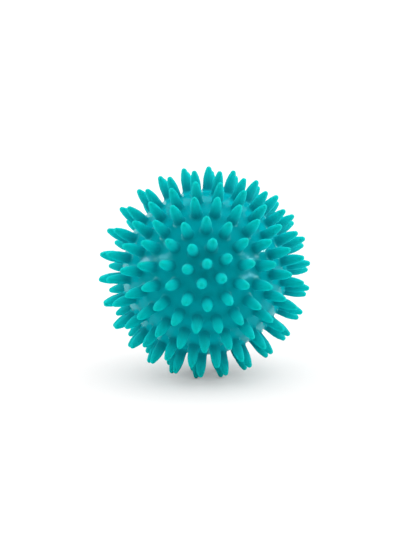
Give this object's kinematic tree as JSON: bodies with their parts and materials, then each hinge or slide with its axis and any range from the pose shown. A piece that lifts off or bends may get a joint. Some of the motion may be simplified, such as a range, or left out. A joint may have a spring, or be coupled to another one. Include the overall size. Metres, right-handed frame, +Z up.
{
  "type": "spiked sensory ball",
  "caption": "Hollow soft-vinyl ball covered with rounded finger-like spikes, made of two half shells, with a push-in valve stopper; rolled or squeezed for touch play and massage.",
  "frame": {"origin": "on the floor under the ball's centre, in the plane of the three spike tips that it stands on", "axes": "+Z up; -Y is the side of the front half's pole spike, which is raised from level; the air valve is on the +Y side"},
  "size_m": [0.0792, 0.0796, 0.079],
  "materials": {
    "ball_vinyl": "satin soft vinyl, slightly see-through at the thin tips",
    "bush_vinyl": "matte soft vinyl",
    "stopper_plastic": "satin"
  },
  "bodies": {
    "ball": {"front_shell": "ball_vinyl", "rear_shell": "ball_vinyl", "valve_bush": "bush_vinyl"},
    "stopper": {"valve_stopper": "stopper_plastic"}
  },
  "joints": [
    {"name": "stopper_pull", "type": "slide", "parent": "ball", "child": "stopper", "axis": [0, 0.9581, -0.2864], "range_m": [0, 0.007]}
  ]
}
